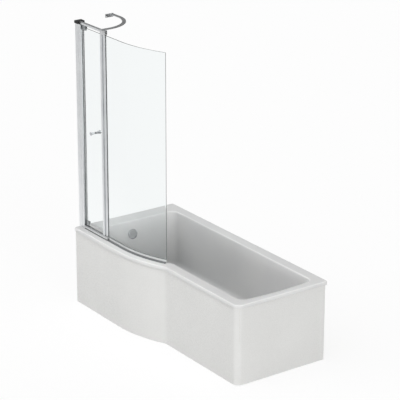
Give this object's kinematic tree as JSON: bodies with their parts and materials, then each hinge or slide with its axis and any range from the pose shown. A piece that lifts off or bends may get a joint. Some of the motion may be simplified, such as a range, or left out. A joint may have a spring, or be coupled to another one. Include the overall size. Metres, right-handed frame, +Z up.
{
  "type": "p shaped shower bath",
  "caption": "P-shaped shower bath with moulded basin, wrap-round panels, levelling legs and pop-up waste, and a framed screen with an access door, a curved hinged glass and a brace arm.",
  "frame": {"origin": "on the floor, under the middle of the bath's length and of its full width", "axes": "+X along the bath from the shower end to the head end, -Y out of the panelled front, +Y to the back wall, +Z up"},
  "size_m": [1.7, 0.8, 1.962],
  "materials": {
    "acrylic_white": "gloss",
    "panel_white": "satin",
    "timber": "raw chipboard and plywood",
    "zinc_steel": "zinc plated",
    "grey_plastic": "matte",
    "rubber_dark": "matte",
    "cable_black": "matte",
    "cap_black": "satin",
    "chrome": "polished",
    "brass": "turned",
    "bright_aluminium": "bright silver, satin polished",
    "cast_bracket": "silver lacquer",
    "clear_seal": "clear, slightly milky",
    "nylon": "matte",
    "clear_glass": "clear"
  },
  "bodies": {
    "bath": {"tub": "acrylic_white", "baseboard": "timber", "front_battens": "timber", "end_batten": "timber", "leg_rails": "zinc_steel", "centre_plate": "zinc_steel", "board_screws": "zinc_steel", "leg_studs": "zinc_steel", "leg_nuts": "zinc_steel", "feet": "grey_plastic", "wall_brackets": "zinc_steel", "front_panel": "panel_white", "end_panel": "panel_white", "panel_clips": "zinc_steel", "clip_screws": "zinc_steel", "waste_flange": "chrome", "waste_gasket": "rubber_dark", "waste_body": "grey_plastic", "lever_pin": "zinc_steel", "overflow_faceplate": "chrome", "overflow_gasket": "rubber_dark", "overflow_body": "grey_plastic", "overflow_hose": "grey_plastic", "hose_nuts": "grey_plastic", "control_cable": "cable_black", "wall_channel": "bright_aluminium", "channel_cap": "cap_black", "jamb": "bright_aluminium", "jamb_screws": "zinc_steel", "top_rail": "bright_aluminium", "bottom_rail": "bright_aluminium", "sill_gasket": "rubber_dark", "middle_post": "bright_aluminium", "post_head": "cast_bracket", "post_foot": "cast_bracket", "frame_screws": "zinc_steel", "door_pivot_pins": "zinc_steel", "jamb_seal": "clear_seal", "pivot_pins": "zinc_steel", "brace_arm": "bright_aluminium", "arm_wall_plate": "cast_bracket", "arm_screws": "zinc_steel"},
    "access_door": {"door_clamps": "chrome", "door_glass": "clear_glass", "door_edge_seal": "clear_seal", "door_bottom_seal": "clear_seal", "outer_knob": "chrome", "inner_knob": "chrome", "knob_stud": "zinc_steel", "knob_washers": "rubber_dark"},
    "curved_screen": {"pivot_profile": "bright_aluminium", "pivot_bushes": "nylon", "glass_gasket": "rubber_dark", "curved_glass": "clear_glass", "curved_seal": "clear_seal"},
    "overflow_control": {"overflow_dial": "chrome", "dial_spindle": "brass"},
    "pop_up_plug": {"waste_plug": "chrome", "plug_seal": "rubber_dark"},
    "plug_lever": {"lift_lever": "grey_plastic"}
  },
  "joints": [
    {"name": "door_hinge", "type": "hinge", "parent": "bath", "child": "access_door", "pos_m": [-0.771, -0.342, 0.567], "axis": [0, 0, -1], "range_deg": [0, 90]},
    {"name": "screen_hinge", "type": "hinge", "parent": "bath", "child": "curved_screen", "pos_m": [-0.525, -0.342, 0.567], "axis": [0, 0, -1], "range_deg": [-90, 90]},
    {"name": "dial_turn", "type": "hinge", "parent": "bath", "child": "overflow_control", "pos_m": [-0.71968, -0.025, 0.448], "axis": [0.9922, 0, 0.1248], "range_deg": [0, 90]},
    {"name": "plug_lift", "type": "slide", "parent": "bath", "child": "pop_up_plug", "axis": [0, 0, 1], "range_m": [0, 0.01]},
    {"name": "lever_turn", "type": "hinge", "parent": "bath", "child": "plug_lever", "pos_m": [-0.58, -0.025, 0.104], "axis": [0, -1, 0], "range_deg": [0, 30]}
  ],
  "couplings": [
    {"joint": "plug_lift", "follows": "dial_turn", "m_per_rad": 0.006366},
    {"joint": "lever_turn", "follows": "dial_turn", "ratio": 0.3333}
  ]
}
